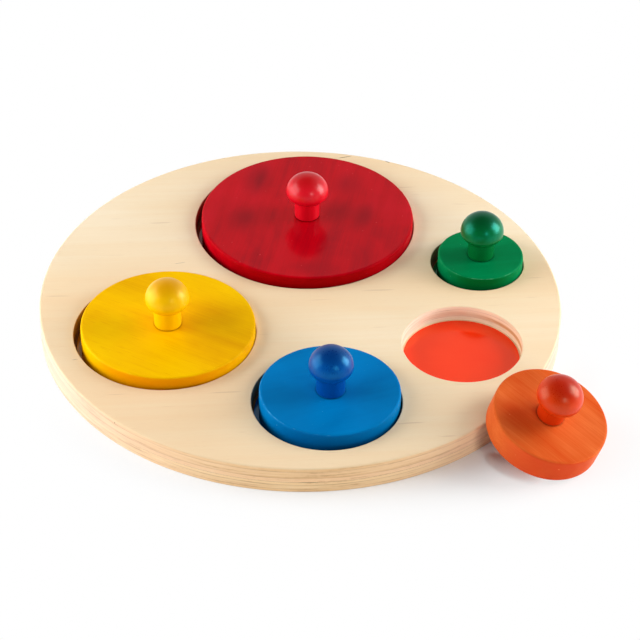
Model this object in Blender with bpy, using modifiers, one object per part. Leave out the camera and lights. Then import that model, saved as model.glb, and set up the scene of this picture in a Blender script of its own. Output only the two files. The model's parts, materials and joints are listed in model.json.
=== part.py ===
"""Circle sorter toy: a round plywood board with five coloured recesses and five knobbed discs.

Metres, +Z up. The origin is the centre of the board's underside, +Y points at the largest
recess. The board is a solid base sheet with a cut-out frame sheet glued on it, so the holes of
the frame become recesses, and a coloured spot on the base shows through each one. Every disc
has a turned knob glued into it. Four discs lie in their recesses and lift straight out. The
orange disc is out of its recess: it leans on the board's rim with its low edge on the table.
"""

import math
from typing import NamedTuple

import bpy

# The board, in metres: two sheets of plywood with a glue line between them
BOARD_RADIUS = 0.150
BASE_THICKNESS = 0.0070
GLUE_LINE = 0.0002
FRAME_THICKNESS = 0.0094
BOARD_EASE = 0.0010
RECESS_EASE = 0.0005

# The coloured spots on the base sheet, which stop a little short of the walls of the recesses
SPOT_THICKNESS = 0.0003
SPOT_EDGE_GAP = 0.0013

# The discs and the clearance that keeps a resting piece free of what it rests on
DISC_THICKNESS = 0.0154
DISC_EASE = 0.0010
REST_GAP = 0.0002

# The turned knobs: a flattened ball on a neck, with a tenon glued into a blind hole in the disc
BALL_RADIUS = 0.0124
BALL_CROWN = 0.0115
BALL_UNDERSIDE = 0.0078
BALL_HEIGHT = 0.0169
NECK_RADIUS = 0.0076
TENON_RADIUS = 0.0040
TENON_LENGTH = 0.0090
TENON_CHAMFER = 0.0005
TENON_HOLE_RADIUS = 0.0043
TENON_HOLE_DEPTH = 0.0094

# The leaning disc: the bearing it slopes down along, how far it lies over the board's rim,
# and how far its middle is to the side of the point where the rim touches it
LEAN_BEARING = math.radians(-37.3)
LEAN_OVERLAP = 0.0096
LEAN_SIDESTEP = -0.0057

# Round pieces are faceted so that no chord lies further than this from the true circle
FACET_ERROR = 0.0001
EASE_STEPS = 2
CROWN_STEPS = 6
UNDERSIDE_STEPS = 3
CUTTER_OVERSHOOT = 0.002
MERGE_DISTANCE = 0.00001
SHARP_ANGLE = math.radians(50)


class Insert(NamedTuple):
    """One colour: where its recess is on the board, both radii, and how its disc lies in it."""

    colour: str
    recess_distance: float
    recess_bearing: float
    recess_radius: float
    disc_radius: float
    disc_shift: tuple
    disc_colour: tuple
    knob_colour: tuple
    spot_colour: tuple


INSERTS = (
    Insert("red", 0.0733, 89.0, 0.0653, 0.0632, (0.0011, -0.0014),
           (0.43, 0.013, 0.021), (0.55, 0.006, 0.012), (0.60, 0.020, 0.020)),
    Insert("yellow", 0.0836, -155.5, 0.0513, 0.0491, (0.0015, -0.0011),
           (0.87, 0.43, 0.003), (0.88, 0.45, 0.010), (0.90, 0.50, 0.010)),
    Insert("blue", 0.0941, -80.5, 0.0408, 0.0386, (0.0016, 0.0009),
           (0.004, 0.15, 0.38), (0.003, 0.035, 0.20), (0.010, 0.16, 0.45)),
    Insert("orange", 0.1005, -24.2, 0.0342, 0.0320, (0.0, 0.0),
           (0.62, 0.085, 0.016), (0.50, 0.022, 0.004), (0.85, 0.090, 0.030)),
    Insert("green", 0.1094, 19.4, 0.0271, 0.0250, (0.0012, -0.0012),
           (0.004, 0.16, 0.045), (0.002, 0.070, 0.014), (0.010, 0.22, 0.060)),
)
LEANING_COLOUR = "orange"

BIRCH_FACE = (0.80, 0.66, 0.44)
BIRCH_BACK = (0.74, 0.58, 0.37)
BIRCH_ROUGHNESS = 0.55
STAIN_ROUGHNESS = 0.42
KNOB_ROUGHNESS = 0.32
SPOT_ROUGHNESS = 0.22

# Heights that follow from the thicknesses above
FRAME_BOTTOM = BASE_THICKNESS + GLUE_LINE
BOARD_TOP = FRAME_BOTTOM + FRAME_THICKNESS
SPOT_BOTTOM = BASE_THICKNESS + REST_GAP
DISC_REST = SPOT_BOTTOM + SPOT_THICKNESS + REST_GAP


def steps_round(radius):
    """The number of facets that keeps a circle of this radius within FACET_ERROR."""
    return math.ceil(math.pi / math.acos(1 - FACET_ERROR / radius))


def arc(centre, radii, start, end, steps):
    """Points of a profile along an ellipse, with its angles in degrees from +X towards +Z."""
    angles = [math.radians(start + (end - start) * i / steps) for i in range(steps + 1)]
    return [(centre[0] + radii[0] * math.cos(a), centre[1] + radii[1] * math.sin(a)) for a in angles]


def eased_top(radius, high, ease):
    """The rounded upper edge of a round plate, from its top face to its side."""
    return arc((radius - ease, high - ease), (ease, ease), 90, 0, EASE_STEPS)


def eased_bottom(radius, low, ease):
    """The rounded lower edge of a round plate, from its side to its underside."""
    return arc((radius - ease, low + ease), (ease, ease), 0, -90, EASE_STEPS)


def make_collection(name):
    collection = bpy.data.collections.new(name)
    bpy.context.scene.collection.children.link(collection)
    return collection


def turned(name, profile, radius, collection):
    """A piece turned about its own Z axis from a profile of (x, z) points, top to bottom."""
    mesh = bpy.data.meshes.new(name)
    points = [(x, 0.0, z) for x, z in profile]
    mesh.from_pydata(points, [(i, i + 1) for i in range(len(points) - 1)], [])
    obj = bpy.data.objects.new(name, mesh)
    collection.objects.link(obj)
    screw = obj.modifiers.new("turning", "SCREW")
    screw.axis = "Z"
    screw.angle = math.tau
    screw.steps = screw.render_steps = steps_round(radius)
    screw.use_merge_vertices = True
    screw.merge_threshold = MERGE_DISTANCE
    return obj


def shade_round(obj):
    """Fixes an object's modifiers into its mesh and shades it smooth between its sharp edges."""
    evaluated = obj.evaluated_get(bpy.context.evaluated_depsgraph_get())
    mesh = bpy.data.meshes.new_from_object(evaluated)
    obj.modifiers.clear()
    obj.data = mesh
    mesh.shade_smooth()
    mesh.set_sharp_from_angle(angle=SHARP_ANGLE)


def finish(obj, colour, roughness):
    """Smooths an object and gives it a material of its own: stained, painted or plain wood."""
    shade_round(obj)
    material = bpy.data.materials.new(obj.name + "_finish")
    material.use_nodes = True
    shader = material.node_tree.nodes["Principled BSDF"]
    shader.inputs["Base Color"].default_value = (*colour, 1.0)
    shader.inputs["Roughness"].default_value = roughness
    shader.inputs["Metallic"].default_value = 0.0
    obj.data.materials.append(material)


def base_board(parts):
    """The solid sheet underneath, sharp at the glue line and eased along its lower edge."""
    rim = [(BOARD_RADIUS, BASE_THICKNESS), *eased_bottom(BOARD_RADIUS, 0.0, BOARD_EASE)]
    profile = [(0.0, BASE_THICKNESS), *rim, (0.0, 0.0)]
    board = turned("base_board", profile, BOARD_RADIUS, parts)
    finish(board, BIRCH_BACK, BIRCH_ROUGHNESS)


def recess_centre(insert, height):
    """A point on the axis of a recess, at a height above the table."""
    bearing = math.radians(insert.recess_bearing)
    distance = insert.recess_distance
    return (distance * math.cos(bearing), distance * math.sin(bearing), height)


def recess_cutter(insert, cutters):
    """A plug as wide as the recess, flared where the top edge of the recess is rounded."""
    radius = insert.recess_radius
    flare_centre = (radius + RECESS_EASE, BOARD_TOP - RECESS_EASE)
    flare = arc(flare_centre, (RECESS_EASE, RECESS_EASE), 90, 180, EASE_STEPS)
    high = BOARD_TOP + CUTTER_OVERSHOOT
    low = FRAME_BOTTOM - CUTTER_OVERSHOOT
    profile = [(0.0, high), (radius + RECESS_EASE, high), *flare, (radius, low), (0.0, low)]
    cutter = turned(insert.colour + "_recess_cutter", profile, radius, cutters)
    cutter.location = recess_centre(insert, 0.0)
    cutter.hide_render = True
    cutter.display_type = "WIRE"
    return cutter


def frame_board(parts, cutters):
    """The upper sheet, with one round hole sawn right through it for each disc."""
    rim = [*eased_top(BOARD_RADIUS, BOARD_TOP, BOARD_EASE), (BOARD_RADIUS, FRAME_BOTTOM)]
    profile = [(0.0, BOARD_TOP), *rim, (0.0, FRAME_BOTTOM)]
    board = turned("frame_board", profile, BOARD_RADIUS, parts)
    for insert in INSERTS:
        cut = board.modifiers.new(insert.colour + "_hole", "BOOLEAN")
        cut.operation = "DIFFERENCE"
        cut.solver = "EXACT"
        cut.object = recess_cutter(insert, cutters)
    finish(board, BIRCH_FACE, BIRCH_ROUGHNESS)


def colour_spot(insert, parts):
    """The thin coloured spot that floors one recess."""
    radius = insert.recess_radius - SPOT_EDGE_GAP
    profile = [(0.0, SPOT_THICKNESS), (radius, SPOT_THICKNESS), (radius, 0.0), (0.0, 0.0)]
    spot = turned(insert.colour + "_spot", profile, radius, parts)
    spot.location = recess_centre(insert, SPOT_BOTTOM)
    finish(spot, insert.spot_colour, SPOT_ROUGHNESS)


def disc(insert, parts):
    """A flat disc with eased edges and a blind hole for the tenon; its underside is at z 0."""
    hole_floor = DISC_THICKNESS - TENON_HOLE_DEPTH
    hole = [(0.0, hole_floor), (TENON_HOLE_RADIUS, hole_floor), (TENON_HOLE_RADIUS, DISC_THICKNESS)]
    radius = insert.disc_radius
    top = eased_top(radius, DISC_THICKNESS, DISC_EASE)
    bottom = eased_bottom(radius, 0.0, DISC_EASE)
    piece = turned(insert.colour + "_disc", [*hole, *top, *bottom, (0.0, 0.0)], radius, parts)
    finish(piece, insert.disc_colour, STAIN_ROUGHNESS)
    return piece


def knob(insert, parts):
    """A turned knob: ball, neck and tenon in one piece; its shoulder stands on the disc's top.

    The ball is two half ellipses, a tall crown over a shallower underside, and the underside
    stops where it meets the neck.
    """
    seat = DISC_THICKNESS + REST_GAP
    tenon_end = seat - TENON_LENGTH
    middle = (0.0, DISC_THICKNESS + BALL_HEIGHT)
    crown = arc(middle, (BALL_RADIUS, BALL_CROWN), 90, 0, CROWN_STEPS)
    crown[0] = (0.0, middle[1] + BALL_CROWN)
    at_neck = -math.degrees(math.acos(NECK_RADIUS / BALL_RADIUS))
    underside = arc(middle, (BALL_RADIUS, BALL_UNDERSIDE), 0, at_neck, UNDERSIDE_STEPS)
    neck = [(NECK_RADIUS, seat), (TENON_RADIUS, seat)]
    tip = TENON_RADIUS - TENON_CHAMFER
    tenon = [(TENON_RADIUS, tenon_end + TENON_CHAMFER), (tip, tenon_end), (0.0, tenon_end)]
    profile = crown + underside[1:] + neck + tenon
    piece = turned(insert.colour + "_knob", profile, BALL_RADIUS, parts)
    finish(piece, insert.knob_colour, KNOB_ROUGHNESS)
    return piece


def seated_axis(insert, axis):
    """Puts a disc's axis upright in its recess, pushed aside as far as it lies."""
    x, y, z = recess_centre(insert, DISC_REST)
    axis.location = (x + insert.disc_shift[0], y + insert.disc_shift[1], z)


def leaning_axis(insert, axis):
    """Leans a disc outwards: its underside on the board's rim, its low edge on the table.

    The underside runs from the rim, BOARD_TOP high, down to the table over what is left of
    the disc's width past the overlap, which gives the slope. REST_GAP lifts it off both.
    """
    downhill = 2 * insert.disc_radius - LEAN_OVERLAP
    slope = math.asin(BOARD_TOP / downhill)
    from_rim = insert.disc_radius - LEAN_OVERLAP
    outward = BOARD_RADIUS + from_rim * math.cos(slope) + REST_GAP * math.sin(slope)
    height = BOARD_TOP - from_rim * math.sin(slope) + REST_GAP * math.cos(slope)
    cosine = math.cos(LEAN_BEARING)
    sine = math.sin(LEAN_BEARING)
    x = outward * cosine - LEAN_SIDESTEP * sine
    y = outward * sine + LEAN_SIDESTEP * cosine
    axis.location = (x, y, height)
    axis.rotation_euler = (0.0, slope, LEAN_BEARING)


def knobbed_disc(insert, parts):
    """A disc and its knob on one axis, the line along which a hand lifts them by the knob."""
    axis = bpy.data.objects.new(insert.colour + "_lift_axis", None)
    axis.empty_display_size = insert.disc_radius
    parts.objects.link(axis)
    if insert.colour == LEANING_COLOUR:
        leaning_axis(insert, axis)
    else:
        seated_axis(insert, axis)
    for piece in (disc(insert, parts), knob(insert, parts)):
        piece.parent = axis


for old in list(bpy.data.objects):
    bpy.data.objects.remove(old, do_unlink=True)

sorter = make_collection("circle_sorter")
sorter_cutters = make_collection("circle_sorter_cutters")
base_board(sorter)
frame_board(sorter, sorter_cutters)
for each in INSERTS:
    colour_spot(each, sorter)
    knobbed_disc(each, sorter)
bpy.context.view_layer.update()
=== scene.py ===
"""Circle sorter toy: the finished surfaces of a round plywood board with five coloured recesses
and five knobbed discs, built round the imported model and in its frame. Metres, +Z up.
"""

import json
import math
from typing import NamedTuple

import bpy
import numpy as np
from mathutils import Matrix, Vector
from mathutils.geometry import delaunay_2d_cdt


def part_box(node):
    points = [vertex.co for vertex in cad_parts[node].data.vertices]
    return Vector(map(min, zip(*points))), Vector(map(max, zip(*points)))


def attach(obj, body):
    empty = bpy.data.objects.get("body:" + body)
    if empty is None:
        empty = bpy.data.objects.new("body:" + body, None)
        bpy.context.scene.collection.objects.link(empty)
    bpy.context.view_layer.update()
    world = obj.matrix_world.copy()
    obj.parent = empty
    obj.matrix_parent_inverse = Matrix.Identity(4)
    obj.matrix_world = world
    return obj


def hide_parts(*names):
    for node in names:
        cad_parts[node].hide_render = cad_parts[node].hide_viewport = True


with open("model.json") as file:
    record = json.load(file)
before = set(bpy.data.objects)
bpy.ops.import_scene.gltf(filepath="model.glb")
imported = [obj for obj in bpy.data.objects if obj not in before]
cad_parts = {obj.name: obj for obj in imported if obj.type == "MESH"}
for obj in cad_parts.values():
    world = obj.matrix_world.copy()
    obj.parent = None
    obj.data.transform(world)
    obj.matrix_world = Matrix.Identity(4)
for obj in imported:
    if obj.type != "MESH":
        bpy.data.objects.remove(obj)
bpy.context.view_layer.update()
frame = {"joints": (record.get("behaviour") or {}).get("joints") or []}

# The base board is a round sheet of birch plywood that closes the recesses from below. It is
# sawn out and sanded, and eased along its lower edge; its plies show round the sawn edge, where
# each glue seam is a fine nick.
base_low, base_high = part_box("base_board")
frame_low, frame_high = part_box("frame_board")
board_radius = (base_high.x - base_low.x) / 2
board_top = frame_high.z
glue_joint = (base_high.z + frame_low.z) / 2
board_ease = 0.0010
joint_chamfer = 0.00008
seam_depth = 0.00009
seam_half_width = 0.00011
base_seams = (0.0052, 0.0023)
support = 0.0005
edge_stray = 0.00007
spot_gap = 0.0013
recess_ease = 0.0005
board_columns = 512
flat_rings = (0.3, 0.7)
ease_points = 7
sharp_angle = math.radians(38)


def quarter_round(centre, radius, start, end):
    """A rounded edge in (r, z): centre + radius (cos a, sin a), with a from start to end degrees."""
    turn = np.radians(np.linspace(start, end, ease_points))
    return np.array(centre) + radius * np.stack([np.cos(turn), np.sin(turn)], axis=1)


def sawn_edge(radius, high, low, seams, depth):
    """The upright edge of a plywood sheet in (r, z), from high to low.

    At each glue seam it goes in by depth and out again, over a seam's half width each way.
    """
    nicks = [
        [(radius, seam + seam_half_width), (radius - depth, seam), (radius, seam - seam_half_width)]
        for seam in seams
    ]
    return np.array([(radius, high), *sum(nicks, []), (radius, low)])


def round_angles(columns):
    """Even bearings once round, from +X on: t = k tau / columns."""
    return np.arange(columns) * math.tau / columns


def stray(angles, size, seed):
    """How far a hand-sanded round strays, up to size: a sum over k of sin(k t + p_k) / k^0.8."""
    k = np.arange(2, 70)[:, None]
    phase = np.random.default_rng(seed).uniform(0, math.tau, k.shape)
    waves = (np.sin(k * angles + phase) / k**0.8).sum(axis=0)
    return size * waves / np.abs(waves).max()


def upright_share(profile):
    """How upright a profile runs at each of its points: |dz| / |(dr, dz)|, 0 on a flat face."""
    step = np.gradient(profile, axis=0)
    return np.abs(step[:, 1]) / np.hypot(step[:, 0], step[:, 1])


def band(rows, columns):
    """The quads of a closed band of points, row by row, seen from outside a downward profile."""
    row, column = np.meshgrid(np.arange(rows - 1), np.arange(columns), indexing="ij")
    onward = (column + 1) % columns
    corners = (row * columns + column, (row + 1) * columns + column,
               (row + 1) * columns + onward, row * columns + onward)
    return np.stack(corners, axis=-1).reshape(-1, 4)


def swept(profile, angles, strays):
    """A profile of (r, z) swept round +Z: ((r + s) cos t, (r + s) sin t, z), s the stray at t.

    The stray counts in full where the profile runs upright, and not at all on its flat faces.
    """
    radius = profile[:, :1] + strays * upright_share(profile)[:, None]
    height = np.broadcast_to(profile[:, 1:], radius.shape)
    return np.stack([radius * np.cos(angles), radius * np.sin(angles), height], axis=-1)


def turned(profile, angles, strays):
    """A solid turned from a profile that runs from its top pole down its outside to its low pole.

    The rings between the poles are swept(); each pole is one point with a fan of triangles.
    Gives the points, rings first, and the faces.
    """
    rings = swept(profile[1:-1], angles, strays)
    rows, columns = rings.shape[:2]
    poles = np.array([(0.0, 0.0, profile[0, 1]), (0.0, 0.0, profile[-1, 1])])
    points = np.concatenate([rings.reshape(-1, 3), poles])
    here = np.arange(columns)
    onward = (here + 1) % columns
    last = (rows - 1) * columns
    top_pole = np.full(columns, rows * columns)
    top_fan = np.stack([top_pole, here, onward], axis=1)
    low_fan = np.stack([top_pole + 1, last + onward, last + here], axis=1)
    return points, band(rows, columns).tolist() + top_fan.tolist() + low_fan.tolist()


def over_rings(values, columns):
    """One value per profile point of a turned solid, spread over its rings and its two poles."""
    return np.concatenate([np.repeat(values[1:-1], columns), values[[0, -1]]])


def make_piece(name, points, faces, finish, **marks):
    """A mesh object at the origin, smooth between its sharp edges, with a value per point per mark."""
    mesh = bpy.data.meshes.new(name)
    mesh.from_pydata(points.tolist(), [], faces)
    for mark, values in marks.items():
        attribute = mesh.attributes.new(mark, "FLOAT", "POINT")
        attribute.data.foreach_set("value", np.asarray(values, np.float32))
    mesh.shade_smooth()
    mesh.set_sharp_from_angle(angle=sharp_angle)
    mesh.materials.append(finish)
    piece = bpy.data.objects.new(name, mesh)
    bpy.context.scene.collection.objects.link(piece)
    return piece


class Socket:
    """A shader socket that works in Python sums: arithmetic on it adds Math nodes to its tree."""

    def __init__(self, tree, socket):
        self.tree = tree
        self.socket = socket

    def node(self, kind, settings, sockets, output=0):
        """Adds a node of a kind: its settings first, then a value or a link for each socket."""
        made = self.tree.nodes.new("ShaderNode" + kind)
        for setting, value in settings.items():
            if setting == "stops":
                made.color_ramp.elements.remove(made.color_ramp.elements[1])
                made.color_ramp.elements[0].position = value[0][0]
                made.color_ramp.elements[0].color = value[0][1]
                for position, colour in value[1:]:
                    made.color_ramp.elements.new(position).color = colour
            else:
                setattr(made, setting, value)
        self.plug(made, sockets)
        return Socket(self.tree, made.outputs[output])

    def plug(self, node, sockets):
        """Sets or links the input sockets of a node, by their names or numbers."""
        for name, value in sockets.items():
            if isinstance(value, Socket):
                self.tree.links.new(value.socket, node.inputs[name])
            else:
                node.inputs[name].default_value = value

    def combine(self, operation, first, second):
        """A Math node's result on two values."""
        return self.node("Math", {"operation": operation}, {0: first, 1: second})

    def __add__(self, other):
        return self.combine("ADD", self, other)

    __radd__ = __add__

    def __sub__(self, other):
        return self.combine("SUBTRACT", self, other)

    def __rsub__(self, other):
        return self.combine("SUBTRACT", other, self)

    def __mul__(self, other):
        return self.combine("MULTIPLY", self, other)

    __rmul__ = __mul__

    def noise(self, stretch, detail=2.0, offset=(0.0, 0.0, 0.0), distortion=0.0):
        """Fractal noise about 0, from -0.5 to 0.5, with stretch cycles per metre along X, Y and Z."""
        place = self.node("VectorMath", {"operation": "MULTIPLY_ADD"}, {0: self, 1: stretch, 2: offset})
        return self.node("TexNoise", {}, {"Vector": place, "Scale": 1.0, "Detail": detail,
                                          "Roughness": 0.55, "Distortion": distortion}) - 0.5

    def wave(self, rate):
        """The sine of this socket times a rate."""
        return self.node("Math", {"operation": "SINE"}, {0: self * rate})

    def between(self, low, high):
        """0 up to low, 1 from high on, and a smooth step between them; low may be the higher one."""
        return self.node("MapRange", {"interpolation_type": "SMOOTHSTEP"},
                         {"Value": self, "From Min": low, "From Max": high})

    def blend(self, first, second):
        """The colour that goes from first to second as this socket goes from 0 to 1."""
        return self.node("Mix", {"data_type": "RGBA"}, {0: self, 6: first, 7: second}, output=2)

    def ramp(self, stops):
        """The colour at this socket's value, in straight runs between (position, colour) stops."""
        return self.node("ValToRGB", {"stops": stops}, {"Fac": self})

    def mark(self, name):
        """The value that a piece's points carry under a name."""
        return self.node("Attribute", {"attribute_name": name}, {}, output="Fac")

    def axis(self, name):
        """This vector's part along X, Y or Z."""
        return self.node("SeparateXYZ", {}, {0: self}, output=name)

    def fleck(self, middle, bearing, half_sizes, core=0.55):
        """1 in the core of a long round fleck along a bearing about +Z, falling to 0 at its edge."""
        local = self.node("Mapping", {"vector_type": "TEXTURE"},
                          {"Vector": self, "Location": middle, "Rotation": (0.0, 0.0, bearing),
                           "Scale": half_sizes})
        far = local.node("VectorMath", {"operation": "LENGTH"}, {0: local}, output="Value")
        return far.between(1.0, core)

    def bump(self, strength, depth):
        """A normal from this socket as a height, depth metres from 0 to 1."""
        return self.node("Bump", {}, {"Height": self, "Strength": strength, "Distance": depth})

    def finish(self, **sockets):
        """Plugs the material's shader; an underscore in a name stands for a space."""
        shader = self.tree.nodes["Principled BSDF"]
        self.plug(shader, {name.replace("_", " "): value for name, value in sockets.items()})


def start_finish(name):
    """A new material, and a socket with the Object coordinates of the piece that wears it."""
    material = bpy.data.materials.new(name)
    material.use_nodes = True
    coordinates = material.node_tree.nodes.new("ShaderNodeTexCoord")
    return material, Socket(material.node_tree, coordinates.outputs["Object"])


def tint(red, green, blue):
    """A colour from its 0 to 255 screen values, as the linear light that shaders take."""
    screen = np.array([red, green, blue]) / 255
    linear = np.where(screen <= 0.04045, screen / 12.92, ((screen + 0.055) / 1.055) ** 2.4)
    return (*linear.tolist(), 1.0)


pore_brown = tint(190, 152, 116)
sawn_brown = tint(200, 154, 110)
sawn_cream = tint(255, 228, 192)
fresh_cut = tint(255, 250, 228)
long_grain = tint(226, 198, 188)
glue_brown = tint(168, 126, 96)
core_brown = tint(204, 152, 100)
end_grain_brown = tint(196, 150, 106)
# The colour of the painted shade in the recesses that hold a disc
painted_gap_shade_brown = tint(130, 72, 20)
fleck_brown = tint(92, 66, 44)
ply_waver = 0.0007
seam_blur = 0.0002
glue_reach = 0.0003
core_from = (0.0094, 0.0108)
core_to = (0.0134, 0.0118)
# Where, in X from the open recess's middle, the painted shade on its right wall starts and ends
right_wall_core_and_shade_from = -0.02
right_wall_core_and_shade_to = 0.03
# How softly the painted gap shade fades out round the open recess
gap_shade_blur = 0.02
birch_roughness = 0.52
birch_shine = 0.15
birch_relief = 0.00015


def crosswise(points, centre):
    """How squarely a round edge faces along Y at each point: the squared sine of its bearing."""
    spoke = points[:, :2] - centre
    return spoke[:, 1] ** 2 / np.maximum((spoke**2).sum(axis=1), 1e-12)


def recess_of(colour):
    """The middle and the radius of a recess: its coloured spot's, and the gap round the spot."""
    low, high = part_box(colour + "_spot")
    middle = (low + high) / 2
    return np.array((middle.x, middle.y)), (high.x - low.x) / 2 + spot_gap


def birch_plywood(name, plies, seams, flecks, gap_shade, grain_slant, offset):
    """Birch plywood as a solid: fibres along the sheet on its faces, and its plies on its edges.

    The face's tone is the sum of soft clouds, faint growth lines, streaks and fibres about their
    means, and of a painted light that makes the face paler towards the back and the left. plies is
    the edge colour as (height, colour) pairs, and a glue line runs along each of the two seams. The
    ply between them runs across the others, so its darker end grain shows where theirs does not.
    In the recesses the cut is paler, with a brown core. Towards the open recess's right wall the
    paleness fades and the core spreads over the wall, partly as painted shade, and the recesses
    that hold a disc are darkened by painted shade, the shade of the gap round the disc, as much as
    the given share. flecks are dark marks, each with a middle, a bearing and half sizes.
    """
    material, place = start_finish(name)
    (open_x, open_y), open_radius = recess_of("orange")
    grain = place.node("Mapping", {}, {"Vector": place, "Rotation": (0.0, 0.0, -grain_slant)})
    clouds = grain.noise((3.5, 15.0, 15.0), 2.0, offset)
    rings = grain.noise((2.5, 13.0, 30.0), 1.0, offset, 0.4).wave(50.0)
    streaks = grain.noise((8.0, 240.0, 240.0), 3.0, offset)
    fibres = grain.noise((60.0, 2600.0, 2600.0), 2.0, offset)
    # Painted light: the face is paler towards the back and the left
    painted_light_drift = place.axis("Y") - place.axis("X") * 0.5
    tone = 0.5 + painted_light_drift + clouds * 1.6 + rings * 0.035 + streaks * 0.40 + fibres * 0.20
    face = tone.ramp([(0.12, tint(240, 207, 165)), (0.40, tint(242, 215, 176)),
                      (0.62, tint(243, 220, 184)), (0.90, tint(246, 228, 198))])
    pores = grain.noise((120.0, 2200.0, 2200.0), 1.0, offset).between(0.17, 0.30)
    lines = grain.noise((32.0, 420.0, 420.0), 1.0, offset).between(0.20, 0.30)
    face = (pores * 0.16 + lines * 0.32).blend(face, pore_brown)

    above = place.axis("Z")
    height = above + place.noise((14.0, 14.0, 14.0), 2.0, offset) * ply_waver
    low = plies[0][0]
    high = plies[-1][0]
    level = (height - low) * (1 / (high - low))
    layers = level.ramp([((z - low) / (high - low), colour) for z, colour in plies])
    laid = place.noise((34.0, 34.0, 800.0), 3.0, offset)
    sawn = place.noise((260.0, 260.0, 900.0), 2.0, offset)
    pale_wear_and_glint = place.noise((9.0, 9.0, 60.0), 2.0, offset)
    rough_edge = laid * 1.2 + sawn * 0.6 + pale_wear_and_glint * 0.5
    edge = (rough_edge.between(0.02, 0.40) * 0.62).blend(layers, sawn_brown)
    edge = (rough_edge.between(-0.02, -0.42) * 0.62).blend(edge, sawn_cream)
    upper_seam, lower_seam = seams
    cross_ply = height.between(lower_seam - seam_blur, lower_seam + seam_blur)
    cross_ply = cross_ply * height.between(upper_seam + seam_blur, upper_seam - seam_blur)
    facing = place.mark("crosswise")
    end_grain = cross_ply * facing + (1 - cross_ply) * (1 - facing)
    recess = place.mark("recess")
    # Painted shade, with the brown core: towards the open recess's right wall the pale cut fades
    right_wall_core_and_shade = place.axis("X").between(open_x + right_wall_core_and_shade_from, open_x + right_wall_core_and_shade_to)
    edge = (recess * (0.90 - right_wall_core_and_shade * 0.35)).blend(edge, fresh_cut)
    edge = ((1 - facing) * (1 - recess) * 0.75).blend(edge, long_grain)
    for seam in seams:
        dark_line = above.between(seam - glue_reach, seam) * above.between(seam + glue_reach, seam)
        edge = (dark_line * (0.40 + laid * 2.0)).blend(edge, glue_brown)
    # The brown core band, which towards the open recess's right wall covers the wall, partly as painted
    # shade
    core = height.between(*core_from) * height.between(*core_to)
    core = core * (0.30 + right_wall_core_and_shade * 0.55 - facing * 0.25 + laid * 1.6) + right_wall_core_and_shade * (1 - facing) * 0.35
    edge = (core * recess).blend(edge, core_brown)
    edge = (end_grain * (0.15 + laid * 0.6)).blend(edge, end_grain_brown)
    upright = place.mark("upright").between(0.72, 1.0)
    colour = upright.blend(face, edge)
    # Painted shade in the recesses that hold a disc: the shade of the narrow gap round the disc
    reach = (open_radius + recess_ease) * (1 + gap_shade_blur)
    in_use = 1 - place.fleck((open_x, open_y, 0.0), 0.0, (reach, reach, 1.0), 1 - gap_shade_blur)
    colour = (recess * in_use * gap_shade).blend(colour, painted_gap_shade_brown)
    for middle, bearing, half_sizes in flecks:
        colour = (place.fleck(middle, bearing, half_sizes) * 0.75).blend(colour, fleck_brown)
    face_relief = streaks * 0.4 + fibres * 0.5 - pores * 0.5
    relief = face_relief * (1 - upright) + (laid + sawn) * 0.5 * upright
    place.finish(Base_Color=colour, Roughness=birch_roughness + streaks * 0.2 + upright * 0.10,
                 Specular_IOR_Level=birch_shine, Normal=relief.bump(0.18, birch_relief))
    return material


starved_joint = ((0.0070, -board_radius, glue_joint), 0.0, (0.0066, 0.002, 0.00022))
# Its darkest stop, at the very bottom of the edge, is painted shade where the board meets the floor
base_plies = [
    (0.0, tint(120, 66, 30)), (0.0009, tint(246, 209, 159)),
    (0.0022, tint(247, 210, 161)), (0.0024, tint(251, 218, 170)),
    (0.0051, tint(252, 220, 172)), (0.0053, tint(249, 215, 167)),
    (glue_joint, tint(251, 218, 170)),
]
# The base board's top, seen in the ring round each spot that holds a disc, gets painted gap shade
base_birch = birch_plywood("base_birch", base_plies, base_seams, [starved_joint],
                           gap_shade=0.9, grain_slant=math.radians(3), offset=(3.1, 7.7, 1.9))

base_profile = np.concatenate([
    [(0.0, glue_joint)],
    [(board_radius * share, glue_joint) for share in flat_rings],
    [(board_radius - support, glue_joint), (board_radius - joint_chamfer, glue_joint)],
    sawn_edge(board_radius, glue_joint - joint_chamfer, board_ease, base_seams, seam_depth)[:-1],
    quarter_round((board_radius - board_ease, board_ease), board_ease, 0, -90),
    [(board_radius - board_ease - support, 0.0)],
    [(board_radius * share, 0.0) for share in reversed(flat_rings)],
    [(0.0, 0.0)],
])
board_angles = round_angles(board_columns)
base_points, base_faces = turned(base_profile, board_angles, stray(board_angles, edge_stray, seed=1))
base_board = make_piece(
    "plywood_base", base_points, base_faces, base_birch,
    upright=over_rings(upright_share(base_profile), board_columns),
    crosswise=crosswise(base_points, (0.0, 0.0)),
    recess=base_points[:, 2] >= glue_joint,
)
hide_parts("base_board")
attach(base_board, "board")

# The frame board is a second round sheet of birch plywood, with a round hole sawn through it for
# each disc and the top edges eased by sanding. It is glued on the base board, so that the holes
# become recesses.
frame_seams = (0.0142, 0.0097)
net_pitch = 0.0055
radius_per_eight = 0.0024
colours = [joint["child"].removesuffix("_insert") for joint in frame["joints"]]

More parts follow.
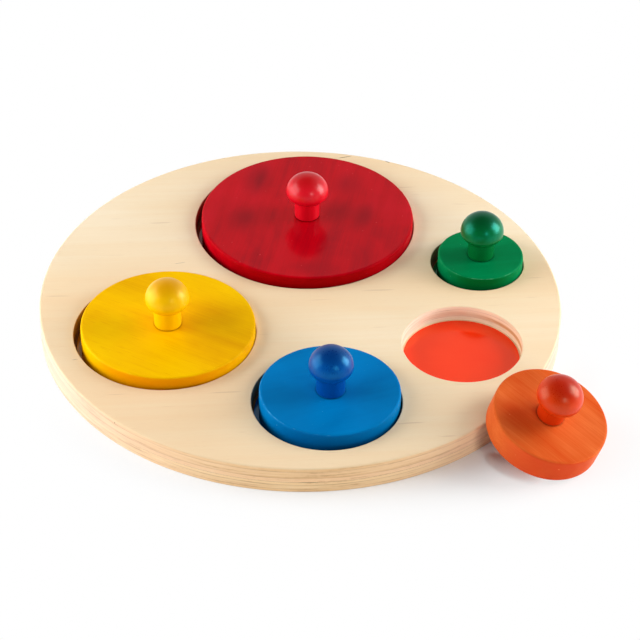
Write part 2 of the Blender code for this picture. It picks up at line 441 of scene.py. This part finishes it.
frame_plies = [
    (glue_joint, tint(248, 209, 165)), (0.0096, tint(250, 212, 168)),
    (0.0099, tint(236, 194, 146)), (0.0112, tint(250, 213, 165)),
    (0.0140, tint(251, 215, 168)), (0.0144, tint(240, 200, 150)),
    (board_top, tint(247, 210, 160)),
]
rim_split = ((0.0251, 0.1440, board_top), math.radians(18), (0.0055, 0.0004, 0.002))
rim_fleck = ((0.0514, 0.1397, board_top), math.radians(-35), (0.0024, 0.0004, 0.002))
grain_lines = [((-0.0715, 0.0297, board_top), math.radians(15), (0.0042, 0.00015, 0.002)),
               ((-0.1244, -0.0620, board_top), math.radians(13), (0.0022, 0.00015, 0.002))]
pin_hole = ((-0.0982, -0.1134, 0.0150), 0.0, (0.0005, 0.0005, 0.0005))
# The walls of the recesses that hold a disc get painted gap shade
frame_birch = birch_plywood("frame_birch", frame_plies, frame_seams,
                            [starved_joint, rim_split, rim_fleck, pin_hole, *grain_lines],
                            gap_shade=0.85, grain_slant=math.radians(5), offset=(0.0, 0.0, 0.0))

# How far each sawn hole's middle lies off its spot's, to the right and to the back, and how much
# wider it is than the bare ring round the spot asks for
saw_strays = {
    "red": (-0.00026, -0.00069, 0.00010),
    "yellow": (0.00003, -0.00074, 0.00012),
    "blue": (0.00038, -0.00027, 0.00046),
    "orange": (0.00000, 0.00020, -0.00010),
    "green": (0.00003, -0.00041, 0.00011),
}


def hole_of(colour):
    """The middle and the radius of a hole as it was sawn: its recess's, and how far the saw strayed."""
    middle, radius = recess_of(colour)
    right, back, wider = saw_strays[colour]
    return middle + (right, back), radius + wider


def columns_round(radius):
    """How many columns go round a piece: eight for each 2.4 mm of radius, about 1.9 mm wide each."""
    return 8 * round(radius / radius_per_eight)


def flat_face(points, loops, loose, upward):
    """The triangles of a flat face between an outer loop, the loops round its holes and loose points.

    The Delaunay triangulation holds every loop's edges. The holes are round, so the triangles in
    a hole are the ones with all three points on its own loop, and they go.
    """
    used = np.concatenate([*loops, loose])
    owner = np.concatenate([*[np.full(len(loop), number) for number, loop in enumerate(loops)],
                            np.full(len(loose), -1)])
    members = [np.flatnonzero(owner == number) for number in range(len(loops))]
    edges = np.concatenate([np.stack([member, np.roll(member, -1)], axis=1) for member in members])
    flat = [Vector(point) for point in points[used, :2].tolist()]
    inside_loops = 1
    merge_distance = 1e-9
    made = delaunay_2d_cdt(flat, edges.tolist(), [], inside_loops, merge_distance)
    made_triangles, made_from = made[2:4]
    given = np.array([sources[0] for sources in made_from])
    triangles = given[np.array(made_triangles)]
    owners = owner[triangles]
    in_hole = (owners[:, 0] > 0) & (owners == owners[:, :1]).all(axis=1)
    triangles = used[triangles[~in_hole]]
    return triangles if upward else triangles[:, ::-1]


frame_rim = np.concatenate([
    [(board_radius - board_ease - support, board_top)],
    quarter_round((board_radius - board_ease, board_top - board_ease), board_ease, 90, 0)[:-1],
    sawn_edge(board_radius, board_top - board_ease, glue_joint + joint_chamfer, frame_seams,
              seam_depth),
    [(board_radius - joint_chamfer, glue_joint), (board_radius - support, glue_joint)],
])
rim_ring = swept(frame_rim, board_angles, stray(board_angles, edge_stray, seed=2))
frame_points = [rim_ring.reshape(-1, 3)]
frame_faces = [band(*rim_ring.shape[:2])]
frame_upright = [np.repeat(upright_share(frame_rim), board_columns)]
frame_crosswise = [crosswise(frame_points[0], (0.0, 0.0))]
frame_recess = [np.zeros(len(frame_points[0]))]
top_loops = [np.arange(board_columns)]
low_loops = [np.arange(board_columns) + (len(frame_rim) - 1) * board_columns]
for number, colour in enumerate(colours):
    centre, radius = hole_of(colour)
    wall = np.concatenate([
        [(radius + recess_ease + support, board_top)],
        quarter_round((radius + recess_ease, board_top - recess_ease), recess_ease, 90, 180)[:-1],
        sawn_edge(radius, board_top - recess_ease, glue_joint, frame_seams, -seam_depth),
        [(radius + support, glue_joint)],
    ])[::-1]
    columns = columns_round(radius)
    angles = round_angles(columns)
    ring = swept(wall, angles, stray(angles, edge_stray, seed=10 + number))
    ring[..., :2] += centre
    first = sum(len(part) for part in frame_points)
    frame_points.append(ring.reshape(-1, 3))
    frame_faces.append(band(*ring.shape[:2]) + first)
    frame_upright.append(np.repeat(upright_share(wall), columns))
    frame_crosswise.append(crosswise(frame_points[-1], centre))
    frame_recess.append(frame_upright[-1])
    low_loops.append(np.arange(columns) + first)
    top_loops.append(np.arange(columns) + first + (len(wall) - 1) * columns)

# The even net of points that divides the top face
across = np.arange(-board_radius, board_radius, net_pitch)
net_x, net_y = np.meshgrid(across, across * math.sqrt(0.75))
net_x[1::2] += net_pitch / 2
net = np.stack([net_x.ravel(), net_y.ravel(), np.full(net_x.size, board_top)], axis=1)
clear = np.hypot(net[:, 0], net[:, 1]) < board_radius - board_ease - net_pitch / 2
for colour in colours:
    centre, radius = hole_of(colour)
    clear &= np.hypot(*(net[:, :2] - centre).T) > radius + recess_ease + net_pitch / 2
net = net[clear]
net_numbers = sum(len(part) for part in frame_points) + np.arange(len(net))
frame_points = np.concatenate([*frame_points, net])
frame_upright = np.concatenate([*frame_upright, np.zeros(len(net))])
frame_crosswise = np.concatenate([*frame_crosswise, np.zeros(len(net))])
frame_recess = np.concatenate([*frame_recess, np.zeros(len(net))])
frame_faces = [
    *np.concatenate(frame_faces).tolist(),
    *flat_face(frame_points, top_loops, net_numbers, True).tolist(),
    *flat_face(frame_points, low_loops, np.arange(0), False).tolist(),
]
frame_board = make_piece("plywood_frame", frame_points, frame_faces, frame_birch,
                         upright=frame_upright, crosswise=frame_crosswise, recess=frame_recess)
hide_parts("frame_board")
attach(frame_board, "board")

# The coloured spots are a smooth, opaque coat of paint on the base board, one at the bottom of
# each recess, so that a child sees which disc belongs there. The paint stops a little short of
# the recess walls, so that a narrow ring of bare wood shows round it.
spot_edge = 0.00008
spot_margin = 0.0020
paint_roughness = 0.10
paint_shine = 0.75

# Each spot's bright tint, the deeper one of its clouds, and its shine's
spot_tints = {
    "red": (tint(206, 22, 30), tint(190, 14, 24), (1.0, 0.62, 0.50, 1.0)),
    "yellow": (tint(236, 164, 6), tint(222, 146, 0), (1.0, 0.90, 0.42, 1.0)),
    "blue": (tint(0, 112, 184), tint(0, 100, 170), (0.40, 0.75, 1.0, 1.0)),
    "orange": (tint(255, 46, 8), tint(252, 36, 3), (1.0, 0.98, 0.40, 1.0)),
    "green": (tint(0, 140, 76), tint(0, 126, 66), (0.42, 1.0, 0.70, 1.0)),
}


def spot_paint(colour, bright, deep, shine_tint):
    """Opaque paint: a soft cloud of a deeper tint, faint brush drag and specks of dust under it."""
    material, place = start_finish(colour + "_spot_paint")
    cloud = place.noise((30.0, 30.0, 30.0), 2.0)
    drag = place.noise((40.0, 700.0, 40.0), 2.0)
    dust = place.noise((1100.0, 1100.0, 1100.0), 0.0).between(0.30, 0.38)
    paint = (0.5 + cloud * 1.6 + drag * 0.25).between(0.0, 1.0).blend(deep, bright)
    place.finish(Base_Color=paint, Roughness=paint_roughness + drag * 0.08,
                 Specular_IOR_Level=paint_shine, Specular_Tint=shine_tint,
                 Normal=(drag * 0.3 + dust).bump(0.10, 0.00006))
    return material


for colour in colours:
    centre, radius = recess_of(colour)
    radius -= spot_gap
    spot_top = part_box(colour + "_spot")[1].z
    spot_profile = np.array([
        (0.0, spot_top), (radius * 0.35, spot_top), (radius * 0.7, spot_top),
        (radius - spot_margin, spot_top), (radius - spot_edge, spot_top),
        (radius, spot_top - spot_edge), (radius, glue_joint),
        (radius - spot_margin, glue_joint), (radius * 0.5, glue_joint), (0.0, glue_joint),
    ])
    columns = columns_round(radius)
    spot_points, spot_faces = turned(spot_profile, round_angles(columns), np.zeros(columns))
    spot_points[:, :2] += centre
    paint = spot_paint(colour, *spot_tints[colour])
    spot = make_piece(colour + "_painted_spot", spot_points, spot_faces, paint)
    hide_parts(colour + "_spot")
    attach(spot, "board")

# The discs are sawn from solid wood, eased by sanding and dipped in stain, which soaks in
# unevenly along the grain, turns deep on the end grain round the sides and wears pale along the
# edges. The sides are painted deeper towards the front and back as shade, the pale edge is partly
# a painted highlight, painted shade rings each knob's seat, and the orange disc's top carries its
# knob's shadow painted in. Each has a blind hole for its knob, and the red one has a thin lacquer
# on its top.
disc_ease = 0.0010
worn_ease = 0.0013
tenon_hole_radius = 0.0043
tenon_hole_depth = 0.0094
hole_chamfer = 0.0002
neck_rings = (-0.0015, -0.0006, 0.0, 0.0005, 0.0010, 0.0018)
edge_rings = (0.0005, 0.0012, 0.0025)
off_centre_run = (0.4, 0.8)
disc_stray = 0.00009
disc_roughness = 0.40
disc_relief = 0.00015
disc_shine = 0.02
lacquer_roughness = 0.15
# The pale edge's width and mean strength round the disc; it is partly wear and partly a painted
# highlight
wear_and_glint_width = 0.0006
wear_and_glint_mean = 0.55
# How deep the side tint is at the left and right sides; it deepens towards front and back as painted
# shade
flank_side_shade = 0.40
seat_width = 0.0005
# How dark the painted shade round a knob's seat is, as a share of the side tint
painted_seat_shade = 0.30
red_low, red_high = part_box("red_disc")
disc_thickness = red_high.z - red_low.z


class Stain(NamedTuple):
    """How a stain lies on wood: its tints, which way the grain runs, and how strongly it shows.

    Bearings are in degrees from +X. The pale edge, partly wear and partly a painted highlight, is
    strongest at its given bearing. lacquer is the weight of a clear coat on the top. A patch is a
    darker place: its x and y, half its length along the grain and half its width. The red disc's
    are blotches of its stain; the orange disc's one is painted shade, the shadow of its knob.
    """

    dark: tuple
    middle: tuple
    bright: tuple
    side: tuple
    pale_wear_and_glint: tuple
    grain_bearing: float
    mottling: float
    streaks: float
    fibres: float
    pores: float
    wear_and_glint: float
    wear_and_glint_bearing: float = 0.0
    lacquer: float = 0.0
    patches: tuple = ()


disc_stains = {
    "red": Stain(
        tint(142, 2, 18), tint(184, 0, 17), tint(198, 6, 28), tint(150, 0, 2), tint(216, 84, 86),
        grain_bearing=80, mottling=1.4, streaks=0.7, fibres=0.4, pores=0.2,
        wear_and_glint=0.36, wear_and_glint_bearing=-40, lacquer=0.3,
        patches=((-0.028, 0.108, 0.026, 0.013), (-0.036, 0.066, 0.017, 0.012),
                 (0.027, 0.104, 0.019, 0.014), (0.020, 0.077, 0.018, 0.014),
                 (0.036, 0.070, 0.020, 0.009), (0.008, 0.018, 0.010, 0.020))),
    "yellow": Stain(
        tint(226, 158, 0), tint(240, 183, 0), tint(246, 196, 0), tint(240, 148, 0), tint(255, 214, 50),
        grain_bearing=-28, mottling=1.3, streaks=0.9, fibres=0.6, pores=0.6,
        wear_and_glint=0.45, wear_and_glint_bearing=-90),
    "blue": Stain(
        tint(0, 100, 164), tint(0, 116, 182), tint(0, 128, 196), tint(0, 96, 166), tint(110, 184, 220),
        grain_bearing=20, mottling=1.2, streaks=0.4, fibres=0.2, pores=0.1,
        wear_and_glint=0.50, wear_and_glint_bearing=-150),
    "orange": Stain(
        tint(206, 56, 2), tint(216, 95, 39), tint(235, 127, 65), tint(218, 74, 36), tint(250, 160, 100),
        grain_bearing=-36, mottling=1.2, streaks=0.5, fibres=0.5, pores=0.3,
        wear_and_glint=0.36, wear_and_glint_bearing=-70,
        # This patch is painted shade: the shadow of the knob on the orange disc's top
        patches=((0.1165, -0.1165, 0.018, 0.014),)),
    "green": Stain(
        tint(0, 106, 57), tint(0, 124, 70), tint(0, 139, 82), tint(0, 89, 32), tint(120, 208, 158),
        grain_bearing=12, mottling=1.2, streaks=0.8, fibres=0.4, pores=0.2,
        wear_and_glint=0.50, wear_and_glint_bearing=-100),
}


class KnobForm(NamedTuple):
    """How a hand-turned knob came out.

    That is its ball's radius and height over the disc, its underside's depth and its neck's radius.
    """

    ball_radius: float
    ball_height: float
    underside: float
    neck_radius: float


knob_forms = {
    "red": KnobForm(0.0126, 0.0170, 0.0066, 0.0074),
    "yellow": KnobForm(0.0124, 0.0174, 0.0077, 0.0077),
    "blue": KnobForm(0.0123, 0.0169, 0.0080, 0.0080),
    "orange": KnobForm(0.0127, 0.0158, 0.0080, 0.0077),
    "green": KnobForm(0.0126, 0.0169, 0.0077, 0.0077),
}


class Stand(NamedTuple):
    """Where a disc stands: the middle of its underside, its axis, and its radius."""

    foot: np.ndarray
    axis: Vector
    radius: float


class Lie(NamedTuple):
    """How a disc lies, off its place in the model: to the right, to the back, and how much wider.

    shift is how far the knob's axis is off, and off_centre how far the outline is off that axis.
    The top's rings pass from one to the other over off_centre_run, in shares of the radius.
    """

    shift: tuple
    off_centre: tuple
    wider: float


lies = {
    "red": Lie((0.0, 0.0), (0.00025, 0.00005), 0.00005),
    "yellow": Lie((0.00035, 0.0), (0.00010, 0.00010), 0.00020),
    "blue": Lie((0.00075, 0.0), (-0.00025, 0.00055), 0.00010),
    "orange": Lie((-0.00060, 0.00010), (0.00060, -0.00020), 0.00025),
    "green": Lie((0.00050, 0.0), (0.00010, 0.00070), 0.0),
}


def stand_of(colour):
    """Reads a disc's stand from its box, the line that it lifts along and how it lies.

    A disc with eased edges that leans by an axis n reaches (r - e) sqrt(1 - n_x^2) +
    (t / 2 - e) |n_x| + e to each side along X, which gives its radius r.
    """
    low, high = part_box(colour + "_disc")
    joint = next(each for each in frame["joints"] if each["child"] == colour + "_insert")
    axis = Vector(joint["axis"]).normalized()
    lean = abs(axis.x)
    flat_reach = (high.x - low.x) / 2 - disc_ease - (disc_thickness / 2 - disc_ease) * lean
    radius = flat_reach / math.sqrt(1 - lean**2) + disc_ease
    foot = (low + high) / 2 - axis * disc_thickness / 2
    lie = lies[colour]
    return Stand(np.array(foot) + (*lie.shift, 0.0), axis, radius + lie.wider)


def wood_turn(along, upward):
    """The rotation whose first row runs along the grain and whose last is square to it, near upward."""
    across = upward.cross(along).normalized()
    return Matrix((along, across, along.cross(across)))


def stained_wood(name, stain, turn, middle, offset, roughness, relief_depth, **gloss):
    """Stained wood, with the grain along the first row of turn and the pattern centred on middle.

    The tone is the sum of soft clouds, streaks and fibres; it runs through the stain's dark, middle
    and bright tints, with dark patches and pores in it; the orange disc's patch is a painted shadow
    of its knob. Over it lie the deep sides, which carry painted shade, a painted shade round a
    knob's seat where the neck meets the disc, a pale edge that is partly wear and partly a painted
    highlight, specks of wear, and a lacquer where the stain has one. gloss holds the shader's plain
    values.
    """
    material, place = start_finish(name)
    shift = -(turn @ Vector(middle))
    wood = place.node("Mapping", {}, {"Vector": place, "Rotation": turn.to_euler(), "Location": shift})
    clouds = wood.noise((16.0, 27.0, 27.0), 3.0, offset, 0.8)
    streaks = wood.noise((7.0, 130.0, 110.0), 3.0, offset)
    fibres = wood.noise((38.0, 1500.0, 1300.0), 3.0, offset)
    tone = 0.5 + clouds * stain.mottling + streaks * stain.streaks + fibres * stain.fibres
    colour = tone.ramp([(0.0, stain.dark), (0.5, stain.middle), (1.0, stain.bright)])
    bearing = math.radians(stain.grain_bearing)
    # Darker patches: blotches of the red disc's stain, and on the orange disc the knob's shadow painted
    # in
    for x, y, along, across in stain.patches:
        patch = place.fleck((x, y, middle[2]), bearing, (along, across, 0.1), 0.0)
        colour = (patch * (0.62 + clouds * 1.6 + streaks * 1.4)).blend(colour, stain.dark)
    pores = wood.noise((95.0, 1700.0, 1500.0), 1.0, offset).between(0.14, 0.26)
    colour = (pores * stain.pores).blend(colour, stain.dark)
    end_grain = place.mark("end_grain").between(0.45, 1.0) * (0.85 - streaks * 0.5)
    colour = end_grain.blend(colour, stain.side)
    # Painted shade round the knob's seat, in the crease where the neck meets the disc
    dark_line = tuple(painted_seat_shade * share for share in stain.side[:3]) + (1.0,)
    colour = (place.mark("seat") * 0.60).blend(colour, dark_line)
    # A pale edge, partly wear and partly a painted highlight on the eased edges, with specks of wear
    edge = place.mark("edge")
    chips = wood.noise((210.0, 210.0, 210.0), 3.0, offset)
    wear_and_glint = (edge * stain.wear_and_glint + chips * 0.9).between(0.40, 0.95) * edge
    specks = wood.noise((700.0, 700.0, 700.0), 0.0, offset).between(0.345, 0.375)
    colour = (wear_and_glint * 0.8 + specks * 0.5).blend(colour, stain.pale_wear_and_glint)
    relief = fibres * 0.6 + streaks * 0.4 - pores * 0.5
    if stain.lacquer:
        gloss["Coat_Weight"] = (1 - place.mark("end_grain").between(0.05, 0.35)) * stain.lacquer
        gloss["Coat_Roughness"] = lacquer_roughness
    place.finish(Base_Color=colour, Roughness=roughness + fibres * (stain.fibres * 0.5) - clouds * 0.10,
                 Normal=relief.bump(0.22, relief_depth), **gloss)
    return material


def set_on(points, stand):
    """Points of a piece turned about +Z, moved so that +Z is a disc's axis and 0 its underside."""
    turn = np.array(Vector((0.0, 0.0, 1.0)).rotation_difference(stand.axis).to_matrix())
    return points @ turn.T + stand.foot


for number, colour in enumerate(colours):
    stand = stand_of(colour)
    radius = stand.radius
    neck_radius = knob_forms[colour].neck_radius
    hole_floor = disc_thickness - tenon_hole_depth
    top_edge = quarter_round((radius - worn_ease, disc_thickness - worn_ease), worn_ease, 90, 0)
    low_edge = quarter_round((radius - disc_ease, disc_ease), disc_ease, 0, -90)
    disc_profile = np.concatenate([
        [(0.0, hole_floor), (tenon_hole_radius * 0.6, hole_floor), (tenon_hole_radius, hole_floor)],
        [(tenon_hole_radius, disc_thickness - hole_chamfer)],
        [(tenon_hole_radius + hole_chamfer, disc_thickness)],
        [(neck_radius + offset, disc_thickness) for offset in neck_rings],
        [(neck_radius + (radius - neck_radius) * share, disc_thickness) for share in (0.4, 0.7)],
        [(radius - worn_ease - depth, disc_thickness) for depth in reversed(edge_rings)],
        top_edge,
        [(radius, disc_thickness - worn_ease - depth) for depth in edge_rings],
        [(radius, disc_ease + depth) for depth in reversed(edge_rings)],
        low_edge,
        [(radius - disc_ease - depth, 0.0) for depth in edge_rings],
        [(radius * 0.6, 0.0), (radius * 0.25, 0.0), (0.0, 0.0)],
    ])
    columns = columns_round(radius)
    angles = round_angles(columns)
    disc_strays = stray(angles, disc_stray, seed=20 + number)
    disc_points, disc_faces = turned(disc_profile, angles, disc_strays)
    outward = np.hypot(disc_points[:, 0], disc_points[:, 1]) / radius
    off_share = np.interp(outward, off_centre_run, (0.0, 1.0))
    disc_points[:, :2] += np.outer(off_share, lies[colour].off_centre)
    crests = np.array([top_edge[ease_points // 2], low_edge[ease_points // 2]])
    from_crest = np.hypot(*(disc_profile[:, None] - crests).T).min(axis=0)
    edge = np.exp(-(from_crest / wear_and_glint_width) ** 2)
    ring_radius, ring_height = disc_profile.T
    outside = ring_radius > tenon_hole_radius + disc_ease
    end_grain = np.where(outside, upright_share(disc_profile), 0.0)
    # Where the painted shade round the knob's neck lies
    seat = np.exp(-((ring_radius - neck_radius) / seat_width) ** 2) * (ring_height > disc_ease)
    stain = disc_stains[colour]
    bearing = math.radians(stain.grain_bearing)
    level = Vector((math.cos(bearing), math.sin(bearing), 0.0))
    along = (level - stand.axis * level.dot(stand.axis)).normalized()
    turn = wood_turn(along, stand.axis)
    wood = stained_wood(colour + "_disc_stain", stain, turn, stand.foot,
                        (number * 3.7, number * 1.3, 0.5), disc_roughness, disc_relief,
                        Specular_IOR_Level=disc_shine)
    # Painted shade: the side tint is deepest on the sides towards the front and back
    painted_side_shade = flank_side_shade + (1 - flank_side_shade) * crosswise(disc_points, (0.0, 0.0))
    # The pale edge, partly wear and partly a painted highlight, is strongest towards a given bearing
    from_wear_and_glint = np.arctan2(disc_points[:, 1], disc_points[:, 0]) - math.radians(stain.wear_and_glint_bearing)
    wear_and_glint_share = wear_and_glint_mean * (1 + np.cos(from_wear_and_glint))
    disc = make_piece(
        colour + "_stained_disc", set_on(disc_points, stand), disc_faces, wood,
        edge=over_rings(edge, columns) * wear_and_glint_share,
        end_grain=over_rings(end_grain, columns) * painted_side_shade,
        seat=over_rings(seat, columns),
    )
    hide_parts(colour + "_disc")
    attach(disc, colour + "_insert")

# The knobs are turned from a wooden rod in one piece: a flattened ball, a neck, and a tenon that
# is glued into the disc's hole. They are stained before that, and have a smooth satin lacquer.
ball_crown = 0.0115
neck_fillet = 0.0008
neck_foot = 0.0006
foot_rings = (0.0020, 0.0006)
crown_rings = 25
underside_rings = 17
seat_gap = 0.0001
tenon_radius = 0.0040
tenon_length = 0.0090
tenon_chamfer = 0.0005
knob_columns = 128
knob_stray = 0.00003
knob_roughness = 0.29
knob_relief = 0.00002

# Each knob's tints, in the order of a stain's, and how strong its shine is, with the shine's tint
knob_tints = {
    "red": (tint(190, 0, 14), tint(217, 8, 32), tint(230, 24, 48), tint(184, 0, 9),
            tint(230, 80, 80)),
    "yellow": (tint(240, 172, 0), tint(248, 194, 0), tint(252, 206, 0), tint(218, 150, 0),
               tint(255, 220, 90)),
    "blue": (tint(0, 54, 128), tint(0, 69, 150), tint(0, 86, 172), tint(0, 42, 110),
             tint(90, 140, 200)),
    "orange": (tint(182, 32, 0), tint(206, 50, 4), tint(224, 71, 14), tint(172, 20, 0),
               tint(240, 130, 90)),
    "green": (tint(0, 76, 24), tint(0, 97, 38), tint(0, 114, 52), tint(0, 56, 10),
              tint(70, 160, 110)),
}
knob_shines = {
    "red": (0.50, (1.0, 0.90, 0.88, 1.0)),
    "yellow": (0.68, (1.0, 0.76, 0.22, 1.0)),
    "blue": (0.90, (0.06, 0.62, 1.0, 1.0)),
    "orange": (0.46, (1.0, 0.82, 0.54, 1.0)),
    "green": (0.90, (0.05, 1.0, 0.84, 1.0)),
}


def eased_corner(start, corner, end):
    """A soft inner corner in (r, z): (1 - t)^2 start + 2 t (1 - t) corner + t^2 end."""
    t = np.linspace(0, 1, ease_points)[1:, None]
    return (1 - t) ** 2 * start + 2 * t * (1 - t) * corner + t**2 * end


def knob_profile(form):
    """A knob's half outline in (r, z) above its disc's underside, from the crown down to the tenon.

    The ball is two half ellipses that meet at its widest, and the lower one runs into the neck.
    """
    middle = disc_thickness + form.ball_height
    seat = disc_thickness + seat_gap
    tenon_end = seat + seat_gap - tenon_length
    around_crown = np.radians(np.linspace(90, 0, crown_rings))
    crown = np.stack([form.ball_radius * np.cos(around_crown),
                      middle + ball_crown * np.sin(around_crown)], axis=1)
    crown[0, 0] = 0.0
    under_end = math.acos((form.neck_radius + neck_fillet) / form.ball_radius)
    around_underside = np.linspace(0, under_end, underside_rings)[1:]
    underside = np.stack([form.ball_radius * np.cos(around_underside),
                          middle - form.underside * np.sin(around_underside)], axis=1)
    under_slope = form.underside / (form.ball_radius * math.tan(under_end))
    throat = np.array((form.neck_radius, underside[-1, 1] - neck_fillet * under_slope))
    return np.concatenate([
        crown,
        underside,
        eased_corner(underside[-1], throat, throat - (0.0, 1.5 * neck_fillet)),
        [(form.neck_radius, seat + neck_foot + depth) for depth in foot_rings],
        quarter_round((form.neck_radius - neck_foot, seat + neck_foot), neck_foot, 0, -90),
        [(tenon_radius, seat), (tenon_radius, tenon_end + tenon_chamfer)],
        [(tenon_radius - tenon_chamfer, tenon_end), (0.0, tenon_end)],
    ])


knob_angles = round_angles(knob_columns)
for number, colour in enumerate(colours):
    stand = stand_of(colour)
    profile = knob_profile(knob_forms[colour])
    knob_strays = stray(knob_angles, knob_stray, seed=30 + number)
    knob_points, knob_faces = turned(profile, knob_angles, knob_strays)
    beside = stand.axis.orthogonal().normalized()
    turn = wood_turn(stand.axis, beside)
    stain = Stain(*knob_tints[colour], grain_bearing=0, mottling=0.9, streaks=0.3, fibres=0.1,
                  pores=0.0, wear_and_glint=0.0)
    shine, shine_tint = knob_shines[colour]
    wood = stained_wood(colour + "_knob_stain", stain, turn, stand.foot,
                        (number * 2.9, 5.0, number * 1.7), knob_roughness, knob_relief,
                        Specular_IOR_Level=shine, Specular_Tint=shine_tint)
    ball_middle = disc_thickness + knob_forms[colour].ball_height
    end_grain = np.clip((profile[:, 1] - ball_middle) / ball_crown, 0.0, 1.0)
    unmarked = np.zeros(len(knob_points))
    knob = make_piece(colour + "_turned_knob", set_on(knob_points, stand), knob_faces, wood,
                      edge=unmarked, end_grain=over_rings(end_grain, knob_columns), seat=unmarked)
    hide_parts(colour + "_knob")
    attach(knob, colour + "_insert")

# The studio: a white floor that keeps the toy's soft shadow at the front right and a darker nook
# beside the leaning disc, a soft light and a fill at the left, the right and the front, and dim
# surroundings with a pale horizon and a pale backdrop behind the toy, which the gloss mirrors.
floor_reach = 10.0
shade_middle = (0.040, -0.089, 0.0)
shade_reach = (0.19, 0.093, 1.0)
shade_core = 0.3
nook_middle = (0.113, -0.124, 0.0)
nook_reach = (0.033, 0.015, 1.0)
nook_bearing = math.radians(-37)
horizon_grey = (0.6, 0.6, 0.6, 1.0)
ceiling_grey = (0.13, 0.13, 0.13, 1.0)
floor_corners = np.array([(-1, -1, 0), (1, -1, 0), (1, 1, 0), (-1, 1, 0)]) * floor_reach
floor_white, floor_place = start_finish("studio_floor")
floor_place.finish(Base_Color=(0.95, 0.95, 0.95, 1.0), Roughness=0.9, Specular_IOR_Level=0.0)


def seen_directly(place):
    """1 for rays from the camera or out of gloss or glass, and 0 for the light that a floor sheds."""
    ray = place.node("LightPath", {}, {}, output="Is Camera Ray")
    gloss = Socket(place.tree, ray.socket.node.outputs["Is Glossy Ray"])
    glass = Socket(place.tree, ray.socket.node.outputs["Is Transmission Ray"])
    return ray.combine("MAXIMUM", ray, ray.combine("MAXIMUM", gloss, glass))


floor_tree = floor_white.node_tree
floor_shader = Socket(floor_tree, floor_tree.nodes["Principled BSDF"].outputs[0])
white = floor_place.node("Emission", {}, {"Color": (1.0, 1.0, 1.0, 1.0), "Strength": 1.0})
shade = floor_place.fleck(shade_middle, 0.0, shade_reach, shade_core)
nook = floor_place.fleck(nook_middle, nook_bearing, nook_reach, shade_core)
shade = shade.combine("MAXIMUM", shade, nook)
lift = (1 - shade) * seen_directly(floor_place)
lifted = floor_place.node("MixShader", {}, {0: lift, 1: floor_shader, 2: white})
floor_tree.links.new(lifted.socket, floor_tree.nodes["Material Output"].inputs["Surface"])
floor = make_piece("floor", floor_corners, [(0, 1, 2, 3)], floor_white)


def softbox(name, direction, distance, width, height, power, colour=(1.0, 1.0, 1.0), mirrored=True):
    """A rectangular studio light that stands off the toy along a direction and faces it.

    The toy's gloss shows it where it is mirrored, and a fill is not.
    """
    data = bpy.data.lights.new(name, "AREA")
    data.shape = "RECTANGLE"
    data.size = width
    data.size_y = height
    data.energy = power
    data.color = colour
    lamp = bpy.data.objects.new(name, data)
    bpy.context.scene.collection.objects.link(lamp)
    toward = Vector(direction).normalized()
    lamp.location = toward * distance
    lamp.rotation_euler = toward.to_track_quat("Z", "Y").to_euler()
    lamp.visible_camera = False
    lamp.visible_glossy = mirrored


softbox("left_softbox", (-0.93, 0.0, 0.37), 0.9, 0.92, 0.74, 5.2)
softbox("left_fill", (-0.93, -0.04, 0.37), 1.1, 0.92, 0.74, 8.2, mirrored=False)
softbox("right_softbox", (0.917, 0.09, 0.39), 0.9, 0.48, 0.56, 6.4)
softbox("right_fill", (0.74, 0.34, 0.58), 1.1, 0.9, 0.9, 2.8, mirrored=False)
softbox("front_light", (0.43, -0.77, 0.48), 1.5, 0.32, 0.32, 2.1)
softbox("front_fill", (0.62, -0.74, 0.22), 2.0, 0.3, 0.40, 7.4, (1.0, 0.95, 0.86), mirrored=False)

world = bpy.data.worlds.new("pale_surroundings")
bpy.context.scene.world = world
world.use_nodes = True
sky = Socket(world.node_tree, world.node_tree.nodes.new("ShaderNodeTexCoord").outputs["Generated"])
# The pale part ends low over the horizon, and higher up behind the toy
behind = sky.axis("Y").between(0.15, 0.50)
rise = sky.axis("Z").between(0.08 + behind * 0.56, 0.16 + behind * 0.60)
sky.plug(world.node_tree.nodes["Background"],
         {"Color": rise.blend(horizon_grey, ceiling_grey), "Strength": 1.0})

# The camera looks down on the board from the blue disc's side, with a long lens and a slight tilt.
image_width = 640
focal_pixels = 2327.1
sensor_width = 36
camera_elevation = math.radians(37.99)
camera_distance = 1.3522
camera_roll = math.radians(1.10)
camera_target = Vector((0.0114, -0.0008, 0.0))
back = Vector((0.0, -math.cos(camera_elevation), math.sin(camera_elevation)))
level_up = Vector((0.0, math.sin(camera_elevation), math.cos(camera_elevation)))
level_right = Vector((1.0, 0.0, 0.0))
right = level_right * math.cos(camera_roll) + level_up * math.sin(camera_roll)
up = level_up * math.cos(camera_roll) - level_right * math.sin(camera_roll)
camera_data = bpy.data.cameras.new("photo_camera")
camera_data.sensor_width = sensor_width
camera_data.lens = focal_pixels / image_width * sensor_width
camera = bpy.data.objects.new("photo_camera", camera_data)
bpy.context.scene.collection.objects.link(camera)
camera.matrix_world = Matrix.Translation(camera_target + back * camera_distance) @ Matrix(
    (right, up, back)).transposed().to_4x4()
bpy.context.scene.camera = camera
bpy.context.scene.view_settings.view_transform = "Standard"
